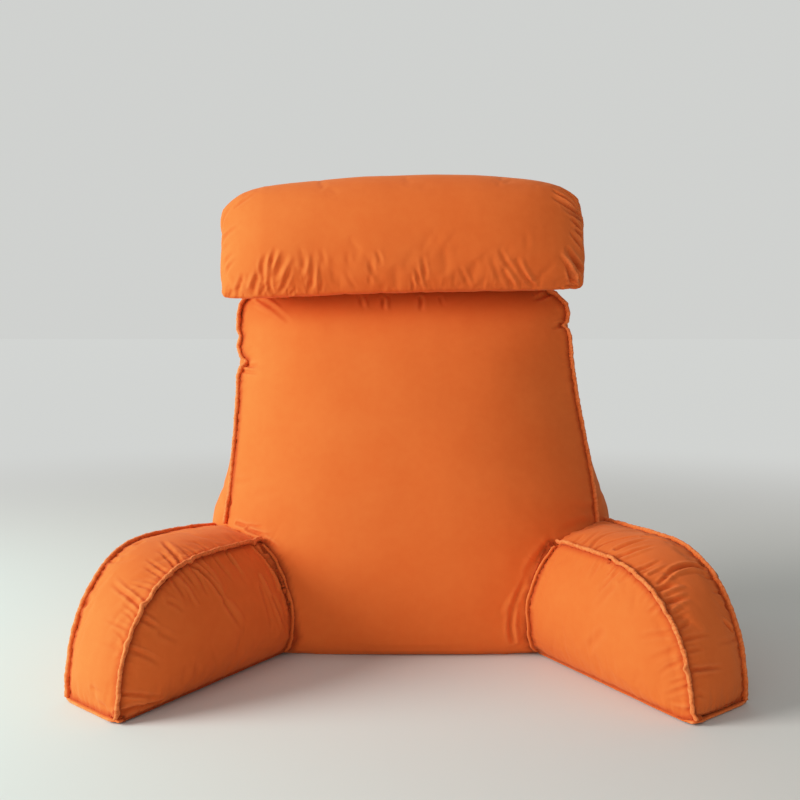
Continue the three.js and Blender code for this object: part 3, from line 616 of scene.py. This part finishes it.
cushions = {
    "backrest": {
        "welts": ["backrest_front_welt", "backrest_back_welt", "arm_left_rear_welt",
                  "arm_right_rear_welt"],
        "touches": ["arm_left", "arm_right", "neck_roll"],
        "voxel": 6.0, "shrink": 1.5, "pressure": 0.9, "slack": 0.0, "cap": 8,
        "fill": 0.7, "groove": 1.2, "grooveAt": 3.2, "dark": 0.95,
        "puckers": {"deep": 0.8, "long": 18, "wide": 13, "seed": 1, "lumps": 1.2},
        "nudges": [],
        "start": {"before": 1, "share": 0.6},
        "seen": [
            {"press": 1.3, "rows": [
                (236, 523, 246, 526, 262, 527, 2, 2.8), (247, 529, 256, 533, 272, 536, 2.1, 3.8),
                (262, 538, 269, 542, 279, 550, 2, 3.2), (259, 299, 268, 304, 277, 311, 2.6, 1.5),
                (276, 310, 283, 316, 290, 323, 3, 0.8), (269, 300, 275, 303, 281, 309, 2.4, -0.7),
                (257, 305, 265, 309, 273, 313, 2.6, -0.5), (421, 298, 421, 303, 421, 311, 2.6, 1.7),
                (383, 299, 383, 303, 383, 309, 2.4, 1.1), (387, 299, 387, 304, 387, 310, 2.4, -1.2),
                (361, 298, 361, 302, 362, 307, 2.4, 0.8), (365, 299, 366, 304, 367, 309, 2.2, -0.9),
                (441, 298, 442, 302, 443, 306, 2.4, 0.8), (564, 325, 559, 326, 552, 329, 2.4, 2.2),
                (563, 321, 558, 322, 553, 324, 2.2, -0.9), (550, 293, 543, 296, 533, 300, 2.8, 2.2),
                (247, 365, 253, 365, 260, 363, 2.4, 2), (243, 370, 250, 372, 259, 373, 2, 1.4),
                (245, 368, 252, 369, 260, 368, 2, -0.9), (513, 641, 511, 621, 517, 599, 3, 1.8),
                (516, 600, 521, 589, 529, 574, 3, 1.2), (518, 641, 516, 622, 518, 606, 3, -1.3),
                (529, 572, 538, 557, 551, 542, 4, 1.3), (506, 611, 510, 602, 516, 594, 3.5, -0.8),
                (236, 481, 244, 481, 254, 480, 3.5, 0.6), (250, 496, 268, 493, 290, 490, 6, 0.5),
                (597, 508, 584, 508, 570, 505, 5, 0.9), (590, 521, 572, 527, 555, 536, 4.5, 1),
            ]},
        ],
        "hidden": [
            (-222, 226, 478, -165, 246, 415, 6, 5, 2.2), (-226, 228, 440, -180, 244, 395, 4, 4, 1.6),
            (222, 226, 478, 168, 246, 408, -6, 5, 2.2), (226, 228, 430, 178, 244, 392, -4, 4, 1.5),
            (-240, 212, 40, -170, 226, 95, -6, 6, 2), (244, 212, 44, 176, 226, 100, 6, 6, 2),
            (-60, 232, 492, -52, 246, 440, 2, 4, 1.3), (70, 232, 492, 64, 247, 430, -2, 4.5, 1.4),
            (-236, 140, 389, -246, 205, 372, 3, 4, 2), (-232, 128, 330, -244, 190, 318, 2, 4, 1.3),
            (240, 140, 440, 250, 205, 430, -2, 4, 1.8), (246, 112, 350, 256, 185, 342, 2, 4, 1.2),
            (-246, 80, 190, -262, 160, 205, -4, 5, 1.6), (272, 80, 190, 288, 160, 200, 4, 5, 1.6),
        ],
    },
    "arm_left": {
        **arm,
        "welts": ["arm_left_inner_welt", "arm_left_outer_welt", "arm_left_base_welt",
                  "arm_left_rear_welt"],
        "puckers": {**armPuckers, "seed": 2},
        "nudges": [
            (-151, -8, 71, 4.4, -1, 0, 22),
            (-144, -10, 27, -3.5, 0, 0, 13),
            (-174, 6, 134, 1.5, 0, 0, 14),
            (-322, -248, 2, -2, -4, 2, 11),
            (-287, -179, 143, 1.5, -1, 1.5, 4.5),
            (-299, -206, 124, -2.6, 0, 1.2, 4.5),
            (-293, -198, 132, 1.8, 0, -0.6, 5),
            (-313, -232, 86, -2, 0, 1, 4.5),
        ],
        "seen": [
            {"press": 0.95, "rows": [
                (183, 563, 173, 552, 162, 541, 3, 2.6), (187, 557, 178, 549, 168, 542, 3, -1),
                (175, 567, 168, 558, 158, 551, 2.4, 1.6), (167, 572, 157, 565, 146, 559, 2.4, 1.8),
                (160, 576, 152, 570, 143, 566, 2.4, 1.5), (150, 588, 140, 585, 130, 583, 2.2, 1.5),
                (155, 583, 149, 581, 142, 579, 2, 1), (141, 606, 127, 595, 111, 583, 2.8, 2.3),
                (144, 602, 130, 591, 114, 577, 2.8, -1.4), (135, 613, 129, 607, 122, 603, 2.4, 1.3),
                (132, 618, 127, 613, 121, 609, 2.2, 1.2), (128, 629, 117, 624, 105, 619, 2.4, 1.2),
                (124, 640, 119, 634, 113, 629, 2.4, 1.1), (93, 689, 98, 692, 104, 693, 3, 0.8),
                (103, 708, 99, 705, 95, 704, 4, 1.3), (110, 714, 104, 709, 103, 704, 3.5, 1.3),
                (120, 650, 110, 645, 100, 643, 3, 0.7), (208, 550, 201, 545, 193, 541, 2.6, 0.9),
                (199, 554, 190, 549, 180, 545, 2.6, 0.9), (205, 562, 199, 555, 191, 551, 2.5, 1.3),
            ]},
            {"press": 1.4, "rows": [
                (193, 566, 213, 583, 226, 606, 2.8, 2.6), (203, 562, 214, 573, 224, 592, 3.4, -1.5),
                (225, 604, 232, 615, 241, 628, 3, 1.2), (231, 604, 238, 613, 244, 626, 3, -0.8),
                (183, 570, 190, 578, 198, 590, 2.6, 1.3), (190, 567, 197, 575, 204, 586, 2.4, 1),
                (199, 578, 204, 587, 209, 598, 2.6, 0.8), (173, 578, 180, 589, 187, 601, 3, 1.4),
                (180, 578, 189, 590, 199, 607, 2.6, -1.2), (215, 558, 223, 568, 234, 582, 2.6, 1),
                (227, 554, 232, 560, 238, 568, 2.4, 1.3), (231, 555, 238, 565, 246, 577, 2.6, -1.1),
                (256, 547, 268, 575, 290, 621, 2.8, 3.8), (262, 577, 272, 600, 284, 630, 3, -1.1),
                (261, 547, 275, 562, 288, 597, 2.4, 2.6), (262, 590, 267, 610, 273, 628, 3.4, 0.9),
                (273, 600, 279, 613, 284, 629, 3, 1.1), (140, 618, 149, 623, 159, 629, 2.8, 1.1),
                (141, 613, 150, 618, 160, 626, 2.4, -0.9), (132, 650, 144, 655, 161, 664, 3, 1.1),
                (131, 645, 138, 648, 145, 652, 2.4, -0.8), (122, 695, 140, 695, 165, 699, 2.2, 1.7),
            ]},
            {"press": 0.95, "rows": [
                (117, 714, 136, 708, 166, 701, 2.8, 5),
            ]},
            {"press": 1.4, "rows": [
                (171, 603, 178, 606, 184, 612, 3, 0.8), (163, 634, 170, 637, 178, 641, 3.5, 0.7),
            ]},
        ],
        "hidden": [
            (-371, -145, 110, -360, -126, 78, 2, 4, 1.8), (-351, -110, 145, -345, -100, 105, -3, 4, 2),
            (-330, -76, 160, -329, -74, 118, 2, 3.6, 1.5), (-304, -33, 163, -307, -38, 120, 3, 4, 1.8),
            (-279, 10, 158, -286, -3, 110, -3, 4.5, 1.6),
        ],
    },
    "arm_right": {
        **arm,
        "welts": ["arm_right_inner_welt", "arm_right_outer_welt", "arm_right_base_welt",
                  "arm_right_rear_welt"],
        "puckers": {**armPuckers, "seed": 3},
        "nudges": [
            (166, -9, 72, -6.5, -1, 0, 24),
            (171, -6, 13, -2.5, 0, 0, 10),
            (187, 5, 140, 4, 0, 0, 14),
            (201, 9, 155, 4.5, 0, -4, 11),
            (320, -250, 2, 4, -4, 2, 11),
            (312, -243, 61, -3.6, 0, 1, 4),
            (310, -240, 71, 1.6, 0, 0, 5),
            (259, -122, 156, 0, -1.5, -1.8, 4.5),
            (297, -209, 117, -1.6, 0, -1, 4.5),
        ],
        "seen": [
            {"press": 1.6, "rows": [
                (666, 603, 676, 599, 690, 597, 3, 2.4), (671, 611, 678, 606, 687, 602, 3, -1.5),
                (659, 589, 667, 586, 678, 582, 2.8, 1.9), (664, 593, 674, 589, 686, 585, 2.6, -1.2),
                (702, 568, 684, 566, 666, 577, 3, 2.8), (699, 571, 684, 571, 664, 583, 2.6, -1.3),
                (666, 577, 661, 581, 656, 585, 2.4, 1.3), (638, 570, 648, 566, 661, 560, 2.6, 1.6),
                (646, 575, 655, 569, 668, 564, 2.6, -1.1), (611, 560, 630, 552, 654, 546, 2.6, 1.9),
                (617, 562, 634, 554, 652, 549, 2.4, -1.1), (619, 548, 632, 544, 648, 540, 3.4, 2.1),
                (595, 549, 615, 541, 645, 537, 2.2, 1.7), (645, 538, 657, 539, 670, 543, 2.2, 1.3),
                (590, 549, 601, 538, 624, 532, 2.8, 1.1), (582, 545, 590, 539, 600, 532, 2.6, 0.9),
                (573, 542, 579, 538, 585, 534, 2.4, 0.7), (675, 618, 682, 616, 690, 614, 2.4, 1.1),
                (681, 627, 686, 624, 691, 620, 2.4, 1.3), (685, 639, 697, 637, 711, 634, 2.2, 1.1),
                (689, 651, 696, 650, 704, 648, 2.2, 1.1), (691, 670, 705, 669, 723, 667, 2, 1.7),
                (697, 673, 710, 671, 722, 669, 2.2, -0.8), (699, 694, 704, 696, 710, 698, 2.6, 0.7),
                (730, 625, 726, 620, 721, 617, 2, -1.2), (731, 629, 727, 625, 723, 622, 2, 1.4),
                (722, 593, 717, 592, 712, 592, 2, 1), (711, 578, 707, 577, 703, 576, 2, 1),
                (735, 640, 726, 642, 716, 644, 2.6, 0.8), (617, 571, 609, 580, 599, 592, 2.8, 1.1),
                (615, 566, 611, 570, 607, 575, 2.2, 1.3), (598, 563, 594, 571, 590, 580, 3.4, 0.8),
                (612, 588, 604, 598, 594, 610, 3.6, 0.8), (601, 634, 592, 643, 583, 652, 4.5, 0.8),
                (659, 605, 654, 608, 648, 613, 2.6, 1.4), (651, 591, 645, 596, 639, 602, 3, 0.9),
                (672, 634, 655, 635, 640, 640, 3, 0.9), (678, 650, 665, 654, 650, 660, 3.5, 0.8),
                (682, 662, 670, 667, 659, 675, 2.6, 0.9), (693, 712, 683, 713, 671, 709, 3.2, 1.6),
                (690, 706, 680, 706, 667, 703, 2.4, -0.9), (684, 689, 674, 692, 664, 695, 2.6, 0.7),
                (686, 680, 678, 682, 668, 685, 2.6, 0.7), (642, 577, 637, 580, 631, 585, 2.4, 0.9),
                (631, 573, 625, 577, 618, 582, 2.6, 0.8), (697, 718, 718, 711, 741, 698, 3.2, 2.8),
            ]},
        ],
        "hidden": [
            (380, -153, 107, 370, -133, 74, -2, 4, 1.8), (360, -113, 144, 354, -101, 102, 3, 4, 2),
            (341, -77, 159, 340, -75, 114, -2, 3.6, 1.5), (318, -33, 162, 321, -38, 118, -3, 4, 1.8),
        ],
    },
    "neck_roll": {
        "seam": [(-258, 91, 497), (-250, 88, 485), (-225, 78, 477), (-185, 73, 479), (-120, 68, 482),
                 (-20, 66, 486), (90, 67, 488), (165, 72, 489), (210, 80, 490), (236, 90, 492),
                 (248, 97, 500)],
        "touches": ["backrest"],
        "voxel": 4.5, "shrink": 0.5, "pressure": 3, "slack": 0.006, "cap": 7,
        "fill": 0.65, "groove": 0, "grooveAt": 3, "dark": 0,
        "puckers": {"deep": 0.7, "long": 20, "wide": 14, "seed": 4, "lumps": 1.4},
        "nudges": [
            (-249, 93, 487, -4, -2, -4, 12),
            (245, 94, 503, 4, -2, -4, 13),
            (249, 100, 535, 3.5, 0, 0, 22),
        ],
        "start": {"before": 0, "share": 0.3},
        "seen": [
            {"press": 0.8, "rows": [
                (238, 293, 240, 284, 244, 273, 3, 3), (253, 293, 255, 283, 260, 268, 3, 3),
                (246, 292, 248, 284, 252, 274, 2.4, -1.6), (261, 294, 263, 290, 267, 285, 2, 1.3),
                (263, 279, 262, 268, 266, 254, 2.8, 3), (268, 274, 268, 264, 270, 252, 2.4, -1.8),
                (271, 292, 269, 284, 271, 275, 2.4, 2.4), (271, 265, 273, 257, 276, 247, 2.6, 1.6),
                (275, 266, 278, 257, 281, 249, 2.4, -1.4), (280, 292, 286, 281, 292, 268, 2.6, 2.5),
                (275, 277, 280, 266, 288, 252, 3.8, 2.2), (280, 280, 286, 268, 293, 256, 3, -1.6),
                (290, 295, 293, 292, 296, 288, 2.2, 1.4), (309, 291, 312, 278, 312, 262, 3, 2.5),
                (317, 289, 317, 274, 316, 258, 3, -1.6), (304, 269, 303, 259, 301, 248, 3.6, 1.4),
                (303, 278, 308, 264, 310, 250, 2.8, -1.2), (321, 292, 321, 287, 322, 283, 2.4, 1.5),
                (324, 264, 323, 256, 320, 247, 3, 0.9), (348, 264, 348, 257, 347, 249, 3.4, 0.7),
                (356, 289, 350, 281, 345, 268, 2.8, 0.8), (373, 273, 371, 266, 371, 258, 3, 1.4),
                (371, 284, 370, 280, 370, 275, 2.6, 1.1), (381, 263, 379, 257, 376, 249, 2.6, 1.2),
                (222, 244, 229, 233, 241, 226, 2.4, 2), (222, 233, 225, 217, 236, 203, 2.6, 2),
                (236, 207, 244, 201, 256, 194, 2.4, 1.7), (225, 262, 229, 257, 234, 253, 2.6, 1.8),
                (226, 273, 229, 267, 234, 264, 2.2, 1.5), (223, 251, 227, 246, 233, 242, 2.4, 1),
                (225, 267, 232, 260, 238, 255, 2.4, -1), (229, 296, 231, 293, 234, 289, 3, 1.6),
                (246, 290, 248, 280, 250, 271, 3, 1),
            ]},
            {"press": 2.1, "narrow": 0.63, "least": 1.6, "rows": [
                (578, 212, 566, 199, 552, 190, 2.4, 2.8), (580, 214, 570, 204, 555, 195, 2, -1.6),
                (581, 217, 568, 207, 552, 197, 2.2, 2.4), (582, 221, 572, 213, 558, 206, 2, -1.6),
                (583, 223, 573, 214, 560, 206, 2.4, 2.6), (581, 232, 577, 225, 570, 218, 2.4, 2.4),
                (581, 236, 577, 230, 572, 224, 2, -1.4), (581, 239, 578, 233, 574, 226, 2.2, 2),
                (581, 249, 576, 241, 569, 231, 2.4, 2.4), (581, 243, 577, 236, 573, 230, 2.2, -1.3),
                (582, 272, 574, 260, 565, 246, 3.4, 3.4), (577, 283, 571, 268, 561, 252, 3, -3.2),
                (572, 282, 569, 274, 566, 265, 2.4, 2.2), (579, 206, 575, 198, 567, 190, 2, 2),
                (576, 203, 570, 195, 561, 188, 2, 1.6), (580, 208, 579, 201, 572, 192, 2, 1.4),
            ]},
            {"press": 0.8, "rows": [
                (514, 288, 509, 280, 503, 269, 3.6, 2.2), (517, 285, 512, 277, 505, 267, 2.8, -1.8),
                (513, 270, 506, 262, 500, 248, 2.8, 2), (534, 287, 525, 277, 515, 258, 2.8, 2.3),
                (537, 285, 527, 271, 520, 254, 3, -1.6), (425, 278, 424, 268, 422, 255, 2.8, 2),
                (419, 282, 418, 276, 415, 268, 2.4, 1.7), (418, 286, 415, 280, 414, 274, 2.2, -1.2),
                (424, 288, 423, 282, 420, 276, 2.4, -1.2), (413, 290, 413, 286, 413, 281, 2, 1.3),
                (469, 287, 464, 277, 459, 264, 3, 0.9), (473, 285, 468, 276, 463, 265, 2.6, -0.8),
                (500, 280, 496, 270, 491, 256, 3.2, 1.3), (527, 250, 527, 240, 526, 230, 4, 0.5),
            ]},
            {"press": 2.1, "narrow": 0.63, "least": 1.6, "rows": [
                (566, 286, 571, 286, 577, 287, 2, 1.2),
            ]},
        ],
        "hidden": [
            (-250, 150, 560, -200, 215, 575, 4, 4.5, 2), (242, 150, 565, 196, 214, 580, -4, 4.5, 2),
            (-250, 160, 590, -205, 200, 615, -3, 4, 1.6), (242, 160, 600, 200, 200, 622, 3, 4, 1.6),
            (-252, 150, 535, -205, 205, 530, -3, 4.5, 1.8), (244, 150, 540, 200, 206, 536, 3, 4.5, 1.8),
        ],
    },
}


def makeCushion(name, facts):
    seams = treeOf(facts["welts"]) if "welts" in facts else lineTree(facts["seam"])
    piece = mergedCopy(name + "_cover", name)
    remesh(piece, facts["voxel"])
    if facts["groove"]:
        reachSeams(piece, seams, holding["reachBefore"])
    points = readPoints(piece)
    away = nearest(points, seams)[1]
    touching = nearest(points, treeOf(facts["touches"]))[1]
    onFloor = points[:, 2] < holding["base"] * mm
    free = np.clip(np.minimum(away / (holding["seam"] * mm), touching / (holding["touch"] * mm)), 0, 1)
    free[onFloor] = 0
    movePoints(piece, points - readPoints(piece, "normal") * facts["shrink"] * mm * free[:, None])
    held = np.clip(holding["firm"] - np.minimum(away, touching) / (holding["held"] * mm), 0, 1)
    held[onFloor] = 1
    held = np.round(held * holding["degrees"]) / holding["degrees"]
    inflate(piece, held, facts["pressure"], facts["slack"], facts["cap"])
    subdivide(piece)
    if facts["groove"]:
        for far in holding["reachAfter"]:
            reachSeams(piece, seams, far)
    nudge(piece, facts["nudges"])
    pucker(piece, seams, facts["puckers"])
    facts["creases"] = placeCreases(name, facts)
    paintedShade = pressCreases(piece, facts["creases"], facts["start"])
    sinkSeams(piece, seams, facts, paintedShade)
    finishPiece(piece, clothMaterial, name)
    print("filled", name, "with", len(piece.data.polygons), "faces")


for name, facts in cushions.items():
    makeCushion(name, facts)


# how a welt is plumped, how it wavers and where the cloth is gathered in notches, in millimetres;
# the rear and base welts are fine ones, thinner and calmer
welts = {
    "voxel": 1.3, "softened": 2, "plump": 0.5, "thin": -0.3, "calm": 0.35,
    "wave": 0.8, "waveSize": 26, "waver": 0.55, "waverSize": 9,
    "gather": 0.42, "gatherSize": 4.8, "notch": 0.14,
    "pinch": 0.75, "pinchReach": 5, "pinchNear": 8, "root": 3.5, "rootHigh": 1.8,
    # painted shade at the welt's foot and in its notches, and a painted highlight on its crown
    "offFloor": 0.1, "footDark": 0.85, "darkHigh": 2.6, "highlightFrom": 2.6, "highlightOver": 2.4,
    "notchDark": 0.3, "notchLessHighlight": 0.6,
}

# the welts that start on a corner or under another piece run a little past their solids:
# the end that lies below a height moves by x, y and z, in millimetres
weltEnds = {
    "backrest_front_welt": (186, (-1.6, -3.5, -14), (1.4, -3.5, -14)),
    "arm_left_inner_welt": (14, (0, 0, -5), (0, 0, -5)),
    "arm_left_outer_welt": (14, (0, 0, -5), (0, 0, -5)),
    "arm_right_inner_welt": (14, (0, 0, -5), (0, 0, -5)),
    "arm_right_outer_welt": (14, (0, 0, -5), (0, 0, -5)),
}


def pinches(creases, tree, facts):  # where a strong crease reaches a welt, it draws the welt in
    found = []
    for crease in creases:
        place, normal, index, away = tree.find_nearest(crease["first"])
        if crease["deep"] > 1 and away < facts["pinchNear"] * mm:
            push = (crease["last"] - crease["first"]).normalized() * crease["deep"] * facts["pinch"]
            found.append((*(place / mm), *push, facts["pinchReach"]))
    return found


def lengthenEnds(piece, height, left, right):
    points = readPoints(piece)
    low = points[:, 2] < height * mm
    points[low & (points[:, 0] < 0)] += np.array(left) * mm
    points[low & (points[:, 0] > 0)] += np.array(right) * mm
    movePoints(piece, points)


def makeWelt(name, facts, seed):
    cushion = next(other for other in cushions if name.startswith(other))
    fine = "rear" in name or "base" in name
    calm = facts["calm"] if fine else 1
    piece = mergedCopy(name + "_cover", name)
    if name in weltEnds:
        lengthenEnds(piece, *weltEnds[name])
    remesh(piece, facts["voxel"])
    soften(piece, facts["softened"])
    points, normals = readPoints(piece), readPoints(piece, "normal")
    places, away = nearest(points, treeOf([cushion]))
    height = away / mm
    rooted = facts["root"] * mm * np.clip(1 - height / facts["rootHigh"], 0, 1)
    rooted /= np.maximum(away, 0.1 * mm)
    points += (places - points) * rooted[:, None]  # its seam allowance lies inside the cushion
    waves = uneven(points, facts["gatherSize"], seed + 7)
    notches = np.exp(-((waves / facts["notch"]) ** 2))
    swell = facts["thin" if fine else "plump"] + calm * facts["gather"] * (waves - notches)
    points += normals * mm * swell[:, None]
    for axis in range(3):
        for high, size, shift in (("wave", "waveSize", 0), ("waver", "waverSize", 3)):
            wave = uneven(points, facts[size], seed + shift + axis)
            points[:, axis] += calm * facts[high] * mm * wave
    movePoints(piece, points)
    creases = cushions[cushion]["creases"]
    nudge(piece, cushions[cushion]["nudges"] + pinches(creases, treeOf([name]), facts))
    points = readPoints(piece)
    points[:, 2] = np.maximum(points[:, 2], facts["offFloor"] * mm)
    movePoints(piece, points)
    # painted shade at the welt's foot and in its notches, and a painted highlight along its crown, less
    # in the notches
    foot = np.clip(facts["footDark"] - height / facts["darkHigh"], 0, 1)
    paint(piece, "paintedShade", foot + facts["notchDark"] * calm * notches)
    crown = np.clip((height - facts["highlightFrom"]) / facts["highlightOver"], 0, 1)
    paint(piece, "paintedHighlight", crown * (1 - facts["notchLessHighlight"] * notches))
    finishPiece(piece, clothMaterial, name)


for seed, name in enumerate(sorted(name for name in nodes if name.endswith("_welt"))):
    makeWelt(name, welts, seed * 11)
print("welts sewn in")

# the tape's two browns, its ribs, their height and the voxel in millimetres, the fuzz as so many to
# a metre, and the nudge by which its end droops
tab = {
    "colour": (0.030, 0.0125, 0.0085), "thread": (0.060, 0.027, 0.018), "weave": 0.55, "fuzz": 1500,
    "bump": 0.5, "ribHeight": 0.15, "gloss": 0.25, "roughness": 0.7, "fuzzRoughness": 0.2,
    "voxel": 0.45, "softened": 3,
    "droop": (386, -124, 146, -1.5, -3, -5.5, 9),
}


def webbing(name, facts):  # ribs of thread along and across the tape
    material, tree, surface, place = newMaterial(name)
    ribs = []
    for axis in range(3):
        part = node(tree, "ShaderNodeSeparateXYZ", {}, {"Vector": place}, axis)
        ribs.append(part.math("SINE", part * (2 * math.pi / (facts["weave"] * mm))))
    weave = (ribs[0] + ribs[1] * 0.7 + ribs[2]) * 0.19 + 0.5  # about 0 to 1
    fuzz = noiseWire(tree, place, facts["fuzz"], 2)
    shade = (weave * 0.7 + fuzz * 0.3).over(0.25, 0.75)
    link(tree, mixColours(tree, shade, facts["colour"], facts["thread"]), surface, "Base Color")
    link(tree, facts["roughness"] + facts["fuzzRoughness"] * fuzz, surface, "Roughness")
    link(tree, bumpWire(tree, facts["bump"], facts["ribHeight"], weave), surface, "Normal")
    surface.inputs["Specular IOR Level"].default_value = facts["gloss"]
    return material


def makeTab(name, facts):
    piece = mergedCopy(name + "_tape", name)
    remesh(piece, facts["voxel"])
    soften(piece, facts["softened"])
    nudge(piece, [facts["droop"]])
    finishPiece(piece, webbing("tab tape", facts), name)


makeTab("arm_right_tab", tab)
print("tab caught in the seam")
